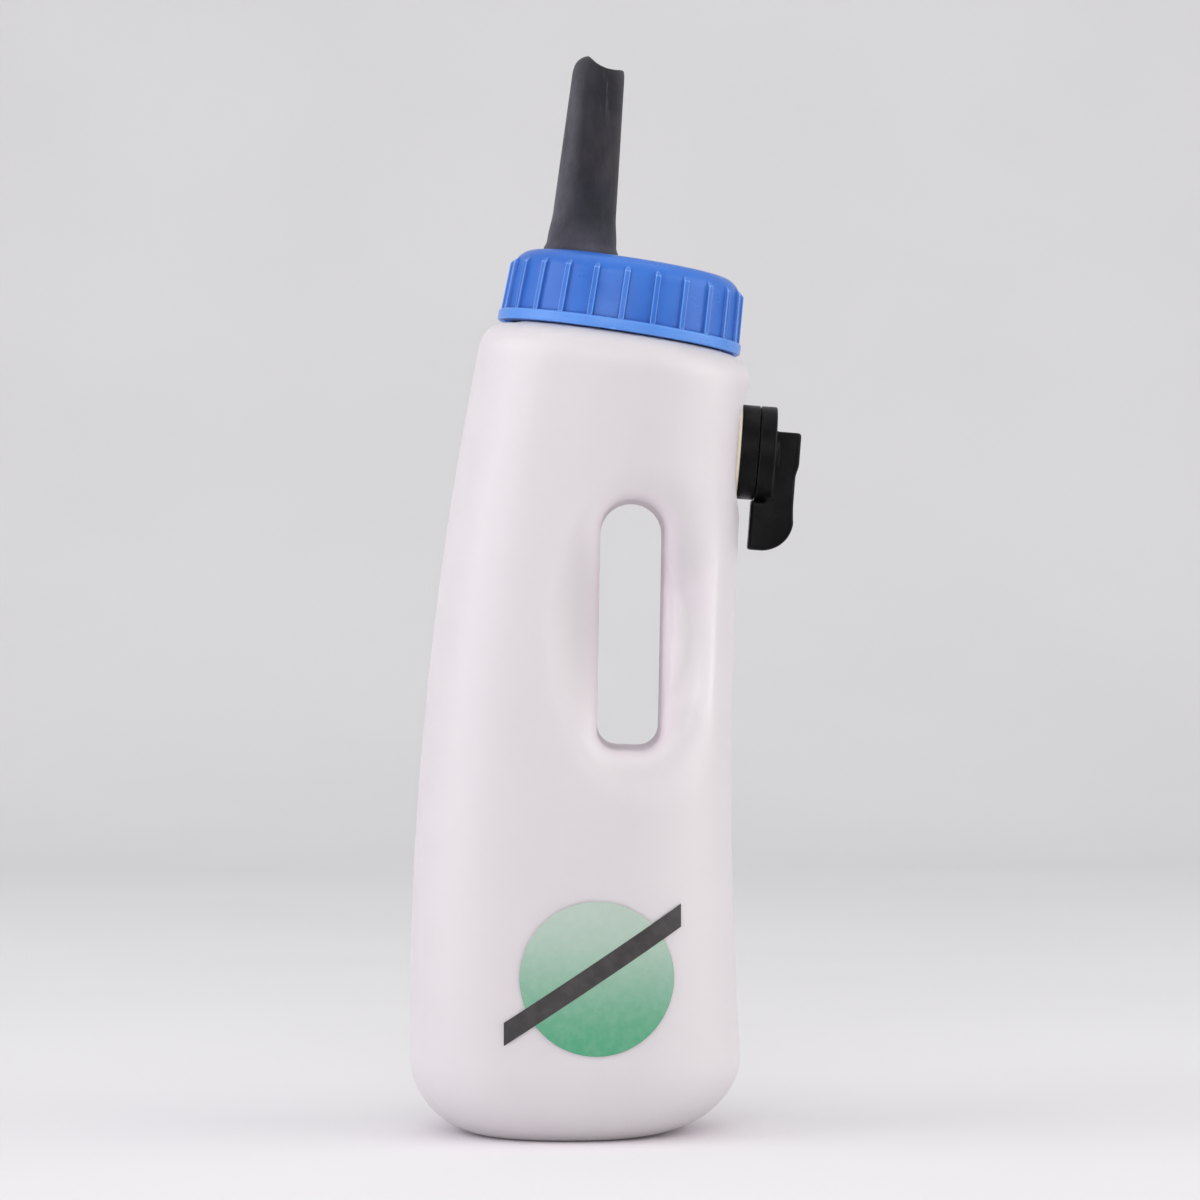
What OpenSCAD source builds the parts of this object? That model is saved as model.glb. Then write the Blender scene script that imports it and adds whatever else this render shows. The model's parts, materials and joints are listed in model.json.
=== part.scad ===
// Calf feeding bottle: a bent, blow-moulded milk bottle with a hand slot, a screw cap
// with an off-centre rubber teat, and a three-speed air valve on the back of its neck.
// +Z is up, +X points to the handle side, and the origin is the middle of the foot ring.

/* [Bottle] */
// Width of the bottle at its base, from the front to the handle side
base_w = 128.7; // [107:0.1:155]
// Depth of the bottle across its two flat sides
body_d = 108; // [100:1:130]
// Height of the cap's foot above the surface the bottle stands on
neck_h = 308.7; // [257:0.1:371]
// How far the neck's foot sits behind the middle of the foot ring
neck_x = 20.7; // [15:0.1:26]
// Lean of the neck towards the handle side, in degrees
neck_lean = 8.5; // [4:0.1:10]
// Width of the shoulder, square to the neck's axis
shoulder_w = 106.4; // [100:0.1:120]
// Wall thickness
wall = 2; // [1.6:0.1:2.4]
// How far the front bows out of a straight line
front_bow = 6.6; // [4:0.1:8]
// How far the handle side bows in from a straight line
back_bow = 5.1; // [2:0.1:7]
// Height of the rounding round the base
base_round = 30; // [25:0.5:36]
// Radius of the shoulder's edge
shoulder_round = 10.5; // [9:0.1:11]
// Squareness of the cross-section: 2 is an ellipse
squareness = 2.3; // [2:0.1:3]
// Height of the hollow under the base
push_up = 5; // [2:0.5:8]

/* [Hand slot] */
// Width of the slot that the fingers go through
slot_w = 24.2; // [20:0.1:29]
// Height of the slot
slot_h = 95.8; // [80:0.1:115]
// Distance from the cap's foot down to the slot's top
slot_drop = 63.9; // [48:0.1:89]
// Width of the handle bar behind the slot
bar_w = 28.5; // [24:0.1:34]
// Depth of the handle bar across the flat sides
bar_d = 64; // [56:1:76]
// Corner radius at the slot's lower edge
slot_corner = 8; // [5:0.5:10]
// Lean of the slot, in degrees
slot_lean = 1.1; // [0:0.1:3]

/* [Neck and cap] */
// Outer radius of the neck between its threads
neck_r = 40.1; // [38:0.1:41]
// Wall of the neck
neck_wall = 2.5; // [2:0.1:3]
// Height of the neck's rim above the cap's foot
neck_rise = 24.3; // [22:0.1:29.5]
// How far the thread stands out of the neck
thread_out = 1.6; // [1.3:0.1:1.9]
// Distance along the neck that one turn of the cap lifts it
thread_lead = 12; // [10:0.5:14]
// Radial gap between the cap and the neck
thread_gap = 0.4; // [0.3:0.05:0.5]
// Wall of the cap's skirt
cap_wall = 3.7; // [2.5:0.1:4.2]
// Thickness of the cap's top plate
cap_plate = 2.6; // [2:0.1:3.2]
// Thickness of the sealing ring under the plate
seal_t = 1.8; // [1.4:0.1:2.2]
// Height of the collar round the cap's foot
collar_h = 4.3; // [3.5:0.1:5.2]
// How far the collar stands out of the skirt
collar_out = 1.9; // [1.8:0.1:3.1]
// Radius of the cap's top edge
cap_round = 8; // [6:0.5:9]
// Number of grip ribs
rib_count = 24; // [16:1:30]
// Width of a grip rib
rib_w = 2.6; // [2:0.1:3.2]
// How far a rib stands out of the skirt
rib_out = 1.4; // [1:0.1:1.7]

/* [Teat] */
// Distance from the neck's axis to the teat, towards the front
teat_off = 19.4; // [15:0.1:19.8]
// Length of the teat above the cap
teat_len = 78.6; // [65:0.1:95]
// Radius of the teat just above the cap
teat_foot_r = 13.7; // [12.5:0.1:15.5]
// Radius of the teat near its tip
teat_tip_r = 10.1; // [8.5:0.1:12]
// Wall of the teat
teat_wall = 3; // [2.5:0.1:3.6]
// Lean of the teat from the neck's axis, in degrees
teat_lean = 2.8; // [0:0.1:4]
// Radius of the scoop across the tip
scoop_r = 11; // [9:0.1:14]
// Radius of the milk hole
milk_hole_r = 1.6; // [1:0.1:2.5]

/* [Air valve] */
// Distance from the cap's foot down to the valve's axis
valve_drop = 44.2; // [24:0.1:58]
// Depth of the flat seat moulded for the valve
seat_cut = 3.6; // [3:0.1:4.4]
// Radius of the valve's flange and dial
flange_r = 18.4; // [17:0.1:20]
// Thickness of the flange
flange_t = 6.8; // [6:0.1:8]
// Thickness of the dial
dial_t = 6.4; // [5.3:0.1:7.7]
// Gap between the dial and the flange
dial_gap = 0.3; // [0.2:0.05:0.4]
// Radius of the stem that passes through the wall
stem_r = 10.5; // [10:0.1:11]
// Length of the stem behind the seat
stem_len = 18; // [17:0.5:22]
// Radius of the dial's pivot pin
pivot_r = 2.6; // [2.2:0.1:2.8]
// Distance from the valve's axis to the air port
port_off = 6.3; // [6:0.1:6.6]
// Radius of the air port
port_r = 1.6; // [1.2:0.1:1.7]
// Turn between two speed settings, in degrees
speed_step = 50; // [40:1:60]
// Width of the air groove for each speed: slow, medium and fast
speed_groove = [0.9, 1.5, 2.2]; // [0.5:0.1:3]
// How far the lever reaches below the valve's axis
lever_len = 37.8; // [32:0.1:45]
// How far the lever stands out from the flange
lever_out = 16.6; // [14:0.1:20]
// Width of the lever at the dial
lever_w = 13; // [10:0.1:16]
// Thickness of the outer gasket
gasket_t = 2; // [1.6:0.1:2.4]
// Width of the nut across its flats
nut_af = 30; // [28:0.5:31]

/* [Hidden] */
$fn = 96;

// --- Small clearances -------------------------------------------------------------
seat_gap = 0.02;      // flat faces that seat on each other
fit_gap = 0.05;       // radial gap of a pin or plug in its hole
stem_gap = 0.2;       // radial gap of the stem in the wall
cut = 1;              // how far a cutting shape runs past a face

// --- Outline of the bottle --------------------------------------------------------
front_inset = 30;                                     // base edge to foot ring, front
back_inset = 37.5;                                    // base edge to foot ring, handle side
side_inset = 20;                                      // base edge to foot ring, flat sides
base_shift = (back_inset - front_inset) / 2;          // keeps the foot ring on the origin
base_front = base_shift - base_w / 2;
base_back = base_shift + base_w / 2;
foot_a = (base_w - front_inset - back_inset) / 2;     // half-width of the foot ring
foot_b = body_d / 2 - side_inset;                     // half-depth of the foot ring
foot_land = 4;                                        // width of the foot ring
foot_start = 0.3;                                     // height where the base rounding begins
foot_stock = 0.4;                                     // stock under the foot ring, to be cut flat
front_start = 40;                                     // where the front begins to bend
back_start = 30;                                      // where the back begins to bend
shoulder_drop = shoulder_round + 1.5;                 // cap's foot to the shoulder's edge
shoulder_top = -0.4;                                  // shoulder's flat, from the cap's foot

function lean_dir(a) = [sin(a), cos(a)];
function across_dir(a) = [cos(a), -sin(a)];
neck_foot = [neck_x, neck_h];
rim_mid = neck_foot - shoulder_drop * lean_dir(neck_lean);
rim_front = rim_mid - shoulder_w / 2 * across_dir(neck_lean);
rim_back = rim_mid + shoulder_w / 2 * across_dir(neck_lean);

function mix(a, b, t) = a + (b - a) * t;
function clamp01(t) = min(1, max(0, t));
function smooth(t) = let (c = clamp01(t)) c * c * (3 - 2 * c);
function bowed(a, b, bow, t) = mix(a, b, t) + 4 * bow * t * (1 - t);
function front_t(z) = max(0, (z - front_start) / (rim_front[1] - front_start));
function back_t(z) = max(0, (z - back_start) / (rim_back[1] - back_start));
function front_x(z) = bowed(base_front, rim_front[0], -front_bow, front_t(z));
function back_x(z) = bowed(base_back, rim_back[0], -back_bow, back_t(z));

// --- Hand slot --------------------------------------------------------------------
slot_mid_z = neck_h - slot_drop - slot_h / 2;
slot_x = back_x(slot_mid_z) - bar_w - slot_w / 2;
recess_x = slot_x + 8;                                // middle of the finger recess
recess_z = slot_mid_z - 4;
recess_a = slot_w + 16;                               // half-width of the recess
recess_b = slot_h / 2 + 18;                           // half-height of the recess
recess_core = 0.3;                                    // share of the recess that is flat

// --- Air valve's place ------------------------------------------------------------
valve_h = neck_h - valve_drop;
valve_probe = 1;
valve_tilt = atan((back_x(valve_h + valve_probe) - back_x(valve_h - valve_probe))
    / (2 * valve_probe));
valve_x = back_x(valve_h) - seat_cut;
seat_r = flange_r + 0.6;                              // exact flat round the flange
seat_blend = 8;                                       // width of the blend round the seat
seat_stock = 0.3;                                     // left on the blow-moulded seat, to be faced

// --- Neck and cap -----------------------------------------------------------------
neck_bore = neck_r - neck_wall;
cap_bore = neck_r + thread_out + thread_gap;
cap_r = cap_bore + cap_wall;                          // skirt at its foot
cap_draft = 3;                                        // degrees
plate_foot = neck_rise + seal_t + 2 * seat_gap;
cap_h = plate_foot + cap_plate;
cap_top_r = cap_r - cap_h * tan(cap_draft);
rib_top = cap_h - cap_round + 4.2;
rib_end_r = cap_top_r - 0.55;                         // slanted ends of the ribs, at their tops
lug_h = 1.1;                                          // stop lugs under the collar
lug_w = 5;
lug_bed = 1.5;                                        // depth of the beds the lugs start in
lug_travel = 41;                                      // degrees that each bed covers
thread_starts = 2;
thread_foot = 6.5;                                    // middle of the thread's first end
thread_turn = 360;                                    // degrees that each start covers
cap_step = thread_foot + thread_lead + 2;             // the bore narrows above the thread
thread_root_w = 2.8;
thread_crest_w = 1.6;
thread_steps = 30;
thread_run_in = 18;                                   // degrees of taper at each end
thread_sink = 0.6;                                    // how deep the thread's root is bedded
thread_play = 0.3;                                    // gap between the bearing flanks
thread_drop = (thread_root_w + thread_crest_w) / 2 + thread_play;

// --- Teat -------------------------------------------------------------------------
teat_groove_r = 12.3;
teat_gap = 0.15;                                      // radial gap of the teat in its hole
teat_lip_r = 17;                                    // flange under the cap's plate
teat_lip_t = 2.4;
teat_bead_r = teat_foot_r + 0.7;                      // bead on top of the cap's plate
teat_bead_h = 4;
teat_round = 5;                                       // rounding of the tip
teat_waist_h = 18;                                    // top of the flared foot
teat_waist_r = mix(teat_foot_r, teat_tip_r, 0.4);
tip_wall = 12;                                        // rubber above the bore
scoop_at = [5, -5.2];                               // scoop's lowest point from the tip's middle

// --- Air valve --------------------------------------------------------------------
flange_foot = gasket_t + seat_gap;
flange_face = flange_foot + flange_t;
dial_foot = flange_face + dial_gap;
dial_face = dial_foot + dial_t;
web_foot = -2;                                        // inner face of the stem's web
stem_wall = 2.3;
stem_bore = stem_r - stem_wall;
port_seal_r = 2.6;
port_seal_len = 2.2;
seal_proud = 0.15;                                    // how far seals stand out of the flange
click_off = 12;                                       // valve's axis to the click ball
ball_r = 1.5;
ball_z = flange_face - 0.45;
click_pocket = 5.4;
track_gap = 0.3;                                      // ball to its track in the dial
oring_off = 15.6;
oring_r = 0.85;
lever_top = 8.8;                                      // top of the lever above the axis
lever_waist = 1.1;
lever_corner = 12;
pivot_foot = web_foot - 0.15;
screw_r = 1.25;
screw_len = 9;
screw_head_r = 2.5;
screw_head_h = 1.8;
washer_t = 0.8;
duckbill_foot = 2.6 - stem_len;                       // outer side of its flange
retainer_t = 2;
nut_t = 6;

// Places its children on the neck's axis, with Z along it and 0 at the cap's foot.
module at_neck() {
    translate([neck_x, 0, neck_h]) rotate([0, neck_lean, 0]) children();
}

// Places its children on the valve's axis, with Z outward from the seat and X downward.
module at_valve() {
    translate([valve_x, 0, valve_h]) rotate([0, 90 + valve_tilt, 0]) children();
}

// Tube of revolution from z0 to z1.
module ring(r_out, r_in, z0, z1) {
    difference() {
        translate([0, 0, z0]) cylinder(r = r_out, h = z1 - z0);
        translate([0, 0, z0 - cut]) cylinder(r = r_in, h = z1 - z0 + 2 * cut);
    }
}

// --- Loft of the bottle -----------------------------------------------------------
seg = 48;                     // points round a ring
round_rings = 6;              // rings in the base rounding
body_rings = 23;              // rings between the base and the shoulder
shoulder_rings = 5;

function signed_pow(v, p) = v < 0 ? -pow(-v, p) : pow(v, p);

// One ring: its front end, its back end (both [x, z]), its half-depth and squareness.
function ring_points(front, back, half_d, n) = [
    for (i = [0 : seg - 1])
        let (
            a = 360 * i / seg,
            across = (1 + signed_pow(cos(a), 2 / n)) / 2,
            p = mix(front, back, across)
        )
        [p[0], half_d * signed_pow(sin(a), 2 / n), p[1]]
];

// How strongly the finger recess draws the flat sides in at a place.
function recess_pull(x, z) =
    let (d = norm([(x - recess_x) / recess_a, (z - recess_z) / recess_b]))
    1 - smooth((d - recess_core) / (1 - recess_core));

function recessed(p, inset) =
    let (limit = bar_d / 2 - inset, excess = abs(p[1]) - limit)
    excess <= 0 ? p
        : [p[0], sign(p[1]) * (abs(p[1]) - excess * recess_pull(p[0], p[2])), p[2]];

// Presses the points near the valve back to its seat.
valve_axis = [cos(valve_tilt), 0, -sin(valve_tilt)];
function seated(p, inset) =
    let (
        v = p - [valve_x, 0, valve_h],
        out = v * valve_axis + inset - (inset > 0 ? 0 : seat_stock),
        r = norm(v - valve_axis * (v * valve_axis)),
        pull = 1 - smooth((r - flange_r) / seat_blend)
    )
    out <= 0 ? p : p - valve_axis * out * pull;

function shaped(points, inset) = [for (p = points) seated(recessed(p, inset), inset)];

// Rounding of the base at height z: how far the edge is drawn in, for a full inset.
function round_in(z) =
    z >= base_round ? 0 : 1 - sqrt(1 - pow((base_round - z) / base_round, 2));

function base_ring(z, inset) =
    let (k = round_in(z) / round_in(foot_start))
    ring_points(
        [base_front + front_inset * k + inset, z],
        [base_back - back_inset * k - inset, z],
        body_d / 2 - side_inset * k - inset, squareness);

// Ring k of the body: its plane tilts from level to square with the neck.
function body_ring(t, inset) =
    let (
        tilt = neck_lean * smooth(0.25 + 0.75 * t) * t,
        h = mix(base_round, rim_mid[1], t),
        half = (back_x(h) - front_x(h)) / 2,
        zf = h + half * sin(tilt),
        zb = h - half * sin(tilt),
        dir = across_dir(tilt)
    )
    ring_points(
        [front_x(zf), zf] + inset * dir,
        [back_x(zb), zb] - inset * dir,
        body_d / 2 - inset, squareness);

// Ring of the shoulder's edge: a is 0 at the side and 90 on top.
function shoulder_ring(a, inset) =
    let (
        r = shoulder_round - inset,
        up = (shoulder_drop + shoulder_top - inset) * sin(a),
        in = r * (1 - cos(a)) + inset,
        dir = across_dir(neck_lean),
        mid = rim_mid + up * lean_dir(neck_lean),
        half = shoulder_w / 2 - in
    )
    ring_points(
        mid - half * dir, mid + half * dir,
        body_d / 2 - in, mix(squareness, 2, a / 90));

function flat_ring(a, b, z) = ring_points([-a, z], [a, z], b, squareness);

// Heights of the rounding's rings, closest where it is steepest.
function round_z(i, from) = mix(base_round, from, cos(90 * i / round_rings));

function outer_rings() = concat(
    [
        flat_ring(foot_a * 0.45, foot_b * 0.45, push_up),
        flat_ring(foot_a * 0.75, foot_b * 0.75, push_up * 0.8),
        flat_ring(foot_a - foot_land, foot_b - foot_land, -foot_stock),
        flat_ring(foot_a, foot_b, -foot_stock)
    ],
    [for (i = [0 : round_rings - 1]) base_ring(round_z(i, foot_start), 0)],
    [for (i = [0 : body_rings - 1]) shaped(body_ring(i / body_rings, 0), 0)],
    [for (i = [0 : shoulder_rings]) shoulder_ring(90 * i / shoulder_rings, 0)]
);

function inner_rings() = concat(
    [
        flat_ring(foot_a * 0.45, foot_b * 0.45, push_up + wall),
        flat_ring(foot_a * 0.75, foot_b * 0.75, push_up * 0.8 + wall)
    ],
    [for (i = [0 : round_rings - 1]) base_ring(round_z(i, 0), wall) + lift(wall, i)],
    [for (i = [0 : body_rings - 1]) shaped(body_ring(i / body_rings, wall), wall)],
    [for (i = [0 : shoulder_rings]) shoulder_ring(90 * i / shoulder_rings, wall)]
);

// Raises the rings of the inner base rounding by the wall, less and less up the side.
function lift(t, i) = [
    for (k = [0 : seg - 1]) [0, 0, t * cos(90 * i / round_rings)]
];

module loft(rings) {
    n = len(rings);
    points = [for (r = rings) for (p = r) p];
    sides = [
        for (j = [0 : n - 2], i = [0 : seg - 1], half = [0, 1])
            let (
                a = j * seg + i,
                b = j * seg + (i + 1) % seg,
                c = a + seg,
                d = b + seg
            )
            half == 0 ? [a, d, b] : [a, c, d]
    ];
    foot = [for (i = [0 : seg - 1]) i];
    top = [for (i = [seg - 1 : -1 : 0]) (n - 1) * seg + i];
    polyhedron(points, concat([top], [foot], sides), convexity = 8);
}

// Upright slot outline with a round top and small lower corners, grown by a margin.
module slot_outline(grow) {
    r = slot_w / 2 + grow;
    corner = slot_corner + grow;
    half = slot_h / 2 + grow;
    translate([0, half - r]) circle(r = r);
    translate([-r, corner - half]) square([2 * r, 2 * half - r - corner]);
    for (side = [-1, 1])
        translate([side * (r - corner), corner - half]) circle(r = corner);
    translate([corner - r, -half]) square([2 * (r - corner), corner]);
}

module slot(grow) {
    translate([slot_x, 0, slot_mid_z])
        rotate([90, slot_lean, 0])
            linear_extrude(body_d + 20, center = true) slot_outline(grow);
}

// A helical ridge: wall_r is where it is rooted, and out is +1 outward or -1 inward.
function ridge_ring(a, wall_r, out, z, start) =
    let (
        ramp = clamp01(min(a, thread_turn - a) / thread_run_in),
        root_r = wall_r - out * thread_sink,
        crest_r = wall_r + out * (thread_out * ramp - 0.05 * (1 - ramp)),
        c = z + thread_lead * a / 360,
        turn = a + start
    )
    [
        for (q = [
            [root_r, -thread_root_w / 2], [crest_r, -thread_crest_w / 2],
            [crest_r, thread_crest_w / 2], [root_r, thread_root_w / 2]
        ])
            [q[0] * cos(turn), q[0] * sin(turn), c + q[1]]
    ];

module ridge(wall_r, out, z, start) {
    rings = [
        for (k = [0 : thread_steps])
            ridge_ring(thread_turn * k / thread_steps, wall_r, out, z, start)
    ];
    points = [for (r = rings) for (p = r) p];
    sides = [
        for (k = [0 : thread_steps - 1], i = [0 : 3], half = [0, 1])
            let (a = 4 * k + i, b = 4 * k + (i + 1) % 4, c = a + 4, d = b + 4)
            out < 0
                ? (half == 0 ? [a, d, b] : [a, c, d])
                : (half == 0 ? [a, b, d] : [a, d, c])
    ];
    last = 4 * thread_steps;
    up = [0, 1, 2, 3];
    down = [3, 2, 1, 0];
    ends = out < 0
        ? [up, [for (i = down) last + i]]
        : [down, [for (i = up) last + i]];
    polyhedron(points, concat(ends, sides), convexity = 6);
}

// --- Sub-parts --------------------------------------------------------------------
module bottle() {
    color("lavenderblush", 0.8)
        difference() {
            union() {
                loft(outer_rings());
                at_neck() translate([0, 0, -4]) cylinder(r = neck_r, h = neck_rise + 4);
                at_neck()
                    for (s = [0 : thread_starts - 1])
                        ridge(neck_r, 1, thread_foot, 360 * s / thread_starts);
            }
            slot(0);
            translate([0, 0, -10]) cube([base_w, body_d, 20], center = true);
            for (a = [0, 180])
                at_neck() rotate([0, 0, a - 5]) lug_bed();
            at_valve() cylinder(r = seat_r, h = 20);
            at_valve() translate([0, 0, -10]) cylinder(r = stem_r + stem_gap, h = 20);
            difference() {
                union() {
                    loft(inner_rings());
                    at_neck()
                        translate([0, 0, -8])
                            cylinder(r = neck_bore, h = neck_rise + 8 + cut);
                }
                slot(wall);
            }
        }
}

// Bed in the shoulder that a stop lug starts in, and climbs out of as the cap unscrews.
module lug_bed() {
    rotate_extrude(angle = lug_travel)
        translate([cap_bore - 0.4, -lug_bed]) square([shoulder_w / 8, 3 * lug_bed]);
}

module screw_cap() {
    skirt = [
        [0, 0], [cap_r, 0], [cap_top_r + 0.35, cap_h - cap_round],
        for (a = [15 : 15 : 75])
            [cap_top_r + 0.35 - cap_round * (1 - cos(a)),
                cap_h - cap_round * (1 - sin(a))],
        [cap_top_r + 0.35 - cap_round, cap_h], [0, cap_h]
    ];
    color("royalblue")
        at_neck() {
            difference() {
                union() {
                    rotate_extrude() polygon(skirt);
                    cylinder(r = cap_r + collar_out, h = collar_h);
                    intersection() {
                        for (k = [0 : rib_count - 1])
                            rotate([0, 0, 360 * k / rib_count]) grip_rib();
                        cylinder(r1 = rib_end_r + rib_top, r2 = rib_end_r + rib_top - cap_h, h = cap_h);
                    }
                    for (a = [0, 180])
                        rotate([0, 0, a])
                            translate([cap_bore - cut, -lug_w / 2, -lug_h])
                                cube([cap_wall - 0.4 + cut, lug_w, lug_h + cut]);
                }
                translate([0, 0, -2 * cut])
                    cylinder(r = cap_bore, h = cap_step + 2 * cut);
                cylinder(r = neck_r + thread_gap, h = plate_foot);
                translate([-teat_off, 0, 0])
                    cylinder(r = teat_groove_r + teat_gap, h = cap_h + cut);
            }
            for (s = [0 : thread_starts - 1])
                ridge(cap_bore, -1, thread_foot - thread_drop, 360 * s / thread_starts);
        }
}

// One upright rib on the cap's skirt, with a pointed top, leaning with the draft.
module grip_rib() {
    half = rib_w / 2;
    reach = cap_r + rib_out;
    rise = rib_top - collar_h;
    translate([reach - 4, 0, collar_h - 0.5])
        rotate([0, -cap_draft, 0])
            rotate([90, 0, 90])
                linear_extrude(4)
                    polygon([
                        [-half, 0], [half, 0], [half, rise - 1.6], [0.5, rise],
                        [-0.5, rise], [-half, rise - 1.6]
                    ]);
}

module cap_gasket() {
    color("gainsboro")
        at_neck()
            ring(neck_r, neck_bore + 0.1, neck_rise + seat_gap, plate_foot - seat_gap);
}

module teat() {
    tip_z = cap_h + teat_len;
    outline = [
        [0, -1], [teat_bead_r - 0.8, -1], [teat_bead_r, 0.6], [teat_bead_r, teat_bead_h - 1.5],
        [teat_foot_r, teat_bead_h + 1], [mix(teat_foot_r, teat_waist_r, 0.6), 10],
        [teat_waist_r, teat_waist_h], [teat_tip_r, teat_len - teat_round],
        for (a = [20 : 20 : 80])
            [teat_tip_r - teat_round * (1 - cos(a)), teat_len - teat_round * (1 - sin(a))],
        [teat_tip_r - teat_round, teat_len], [0, teat_len]
    ];
    bore_r = teat_waist_r - teat_wall;
    color("dimgray")
        at_neck()
            translate([-teat_off, 0, 0]) {
                difference() {
                    union() {
                        ring(teat_lip_r, bore_r - 1, plate_foot - seat_gap - teat_lip_t,
                            plate_foot - seat_gap);
                        ring(teat_groove_r, bore_r - 1, plate_foot - 1, cap_h + 0.8);
                        translate([0, 0, cap_h + seat_gap])
                            rotate([0, -teat_lean, 0])
                                difference() {
                                    rotate_extrude() polygon(outline);
                                    translate([scoop_at[0], 0, teat_len + scoop_at[1] + scoop_r])
                                        rotate([90, 0, 0])
                                            cylinder(r = scoop_r, h = 60, center = true);
                                }
                    }
                    translate([0, 0, cap_h])
                        rotate([0, -teat_lean, 0]) {
                            translate([0, 0, -20])
                                cylinder(r1 = bore_r, r2 = teat_tip_r - teat_wall,
                                    h = teat_len - tip_wall + 20);
                            cylinder(r = milk_hole_r, h = teat_len + 5);
                        }
                    translate([0, 0, -40 + plate_foot - teat_lip_t])
                        cylinder(r = teat_lip_r + 2, h = 40 - seat_gap);
                    difference() {
                        translate([0, 0, plate_foot - seat_gap])
                            cylinder(r = teat_lip_r + 2, h = cap_plate + 2 * seat_gap);
                        translate([0, 0, plate_foot - 1])
                            cylinder(r = teat_groove_r, h = cap_plate + 2);
                    }
                }
            }
}

module valve_gasket() {
    color("cornsilk")
        at_valve() ring(flange_r - 0.4, stem_r + stem_gap, seat_gap / 2, gasket_t);
}

module valve_body() {
    color("black")
        at_valve()
            difference() {
                union() {
                    translate([0, 0, flange_foot]) cylinder(r = flange_r, h = flange_t);
                    translate([0, 0, -stem_len])
                        cylinder(r = stem_r, h = stem_len + flange_foot + cut);
                }
                translate([0, 0, -stem_len - cut])
                    cylinder(r = stem_bore, h = stem_len + cut + web_foot);
                translate([0, 0, web_foot - cut])
                    cylinder(r = pivot_r + fit_gap, h = flange_face - web_foot + 2 * cut);
                translate([-port_off, 0, web_foot - cut])
                    cylinder(r = port_r, h = flange_face - web_foot + 2 * cut);
                translate([-port_off, 0, flange_face - port_seal_len])
                    cylinder(r = port_seal_r, h = port_seal_len + cut);
                translate([click_off, 0, flange_face - click_pocket])
                    cylinder(r = ball_r + fit_gap, h = click_pocket + cut);
                translate([0, 0, flange_face - 2 * oring_r])
                    ring(oring_off + oring_r + 0.1, oring_off - oring_r - 0.1, 0, 3);
            }
}

module valve_washer() {
    color("dimgray")
        at_valve() ring(15, stem_r + stem_gap, -wall - 2, -wall - seat_gap);
}

module valve_nut() {
    color("black")
        at_valve()
            difference() {
                union() {
                    translate([0, 0, -wall - 2 - seat_gap - nut_t])
                        cylinder(r = nut_af / 2 / cos(30), h = nut_t, $fn = 6);
                    translate([0, 0, -wall - 2 - seat_gap - 1.5])
                        cylinder(r = nut_af / 2 + 0.6, h = 1.5);
                }
                translate([0, 0, -stem_len])
                    cylinder(r = stem_r + fit_gap, h = stem_len);
            }
}

// Side outline of the lever: x runs down from the valve's axis, y runs outward. Its outer
// face is waisted for the finger, and its lower outer corner is round.
module lever_outline() {
    face = flange_face + lever_out;
    low = face - lever_waist / 2;
    polygon([
        [-lever_top, dial_face - cut], [-lever_top, face],
        [lever_len * 0.1, face], [lever_len * 0.27, face - lever_waist],
        [lever_len * 0.5, face - lever_waist], [lever_len - lever_corner, low],
        for (a = [10 : 10 : 80])
            [
                lever_len - lever_corner * (1 - sin(a)),
                low - lever_corner * (1 - cos(a))
            ],
        [lever_len, low - lever_corner], [lever_len, flange_face - 1],
        [flange_r + 0.4, flange_face - 1], [flange_r + 0.4, dial_face - cut]
    ]);
}

module speed_dial() {
    color("black")
        at_valve()
            difference() {
                union() {
                    translate([0, 0, dial_foot]) cylinder(r = flange_r, h = dial_t);
                    translate([0, 0, pivot_foot])
                        cylinder(r = pivot_r, h = dial_foot - pivot_foot + cut);
                    rotate([90, 0, 0])
                        linear_extrude(lever_w, center = true) lever_outline();
                }
                for (k = [0 : 2])
                    rotate([0, 0, speed_step * (1 - k)])
                        air_groove(speed_groove[k]);
                translate([0, 0, pivot_foot - cut])
                    cylinder(r = screw_r + fit_gap / 2, h = screw_len + cut);
                translate([0, 0, ball_z])
                    rotate([0, 0, -speed_step])
                        rotate_extrude(angle = 2 * speed_step)
                            translate([click_off, 0]) circle(r = ball_r + track_gap);
                for (k = [-1 : 1])
                    rotate([0, 0, speed_step * k])
                        translate([click_off, 0, ball_z]) sphere(r = ball_r + 2 * track_gap);
            }
}

// Groove in the dial's back, as deep as it is wide, from over the air port to the rim.
module air_groove(width) {
    translate([-flange_r - cut, -width / 2, dial_foot - cut])
        cube([flange_r + cut - port_off + port_r, width, width + cut]);
}

module dial_oring() {
    color("dimgray")
        at_valve()
            translate([0, 0, flange_face + seal_proud - oring_r])
                rotate_extrude() translate([oring_off, 0]) circle(r = oring_r, $fn = 24);
}

module port_seal() {
    color("firebrick")
        at_valve()
            translate([-port_off, 0, 0])
                ring(port_seal_r - 0.03, port_r, flange_face - port_seal_len + seat_gap,
                    flange_face + seal_proud);
}

module dial_screw() {
    head = pivot_foot - washer_t - seat_gap;
    color("silver")
        at_valve()
            difference() {
                union() {
                    translate([0, 0, head - screw_head_h])
                        cylinder(r = screw_head_r, h = screw_head_h);
                    translate([0, 0, head - cut])
                        cylinder(r = screw_r, h = screw_len + cut);
                }
                translate([0, 0, head - screw_head_h - cut])
                    cylinder(r = 1.2, h = 1 + cut, $fn = 6);
            }
}

module dial_screw_washer() {
    color("silver")
        at_valve()
            ring(4.2, screw_r + fit_gap, pivot_foot - washer_t, pivot_foot - seat_gap / 2);
}

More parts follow.
